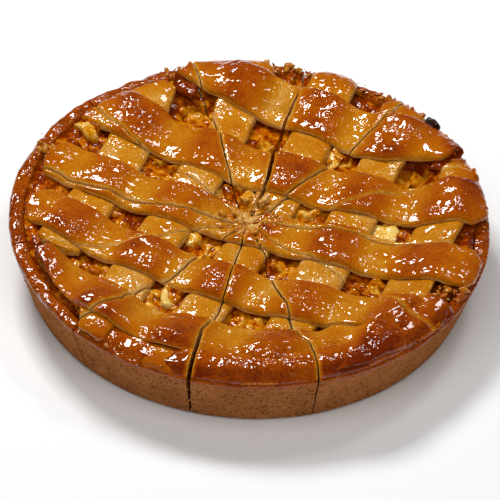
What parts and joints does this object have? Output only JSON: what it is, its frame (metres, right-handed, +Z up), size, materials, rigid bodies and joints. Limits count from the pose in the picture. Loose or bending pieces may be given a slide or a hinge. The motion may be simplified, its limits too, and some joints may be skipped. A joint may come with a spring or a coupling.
{
  "type": "apple pie",
  "caption": "Whole round apple pie with a glazed basket-weave lattice of dough strips, cut into slices that still stand together.",
  "frame": {"origin": "centre of the flat underside", "axes": "+Z up out of the lattice; -Y towards the side the picture is taken from; upper strips run roughly along X"},
  "size_m": [0.28, 0.28, 0.0513],
  "materials": {
    "crust": "dry baked shortcrust, matte brown, finely pitted",
    "glazed_lattice": "golden brown dough under a shiny clear glaze, paler in the folds",
    "apple_filling": "cooked apple in wet caramel-coloured syrup",
    "raisin": "dark wrinkled dried fruit, slightly shiny"
  },
  "bodies": {
    "root": {"raisin": "raisin", "slice_01_crust": "crust", "slice_01_filling": "apple_filling", "slice_01_lattice": "glazed_lattice", "slice_02_crust": "crust", "slice_02_filling": "apple_filling", "slice_02_lattice": "glazed_lattice", "slice_03_crust": "crust", "slice_03_filling": "apple_filling", "slice_03_lattice": "glazed_lattice", "slice_04_crust": "crust", "slice_04_filling": "apple_filling", "slice_04_lattice": "glazed_lattice", "slice_05_crust": "crust", "slice_05_filling": "apple_filling", "slice_05_lattice": "glazed_lattice", "slice_06_crust": "crust", "slice_06_filling": "apple_filling", "slice_06_lattice": "glazed_lattice", "slice_07_crust": "crust", "slice_07_filling": "apple_filling", "slice_07_lattice": "glazed_lattice", "slice_07_lattice_tip": "glazed_lattice", "slice_08_crust": "crust", "slice_08_filling": "apple_filling", "slice_08_lattice": "glazed_lattice", "slice_09_crust": "crust", "slice_09_filling": "apple_filling", "slice_09_lattice": "glazed_lattice", "slice_10_crust": "crust", "slice_10_filling": "apple_filling", "slice_10_lattice": "glazed_lattice", "slice_10_lattice_tip": "glazed_lattice", "slice_11_crust": "crust", "slice_11_filling": "apple_filling", "slice_11_lattice": "glazed_lattice", "slice_12_crust": "crust", "slice_12_filling": "apple_filling", "slice_12_lattice": "glazed_lattice"}
  },
  "joints": []
}
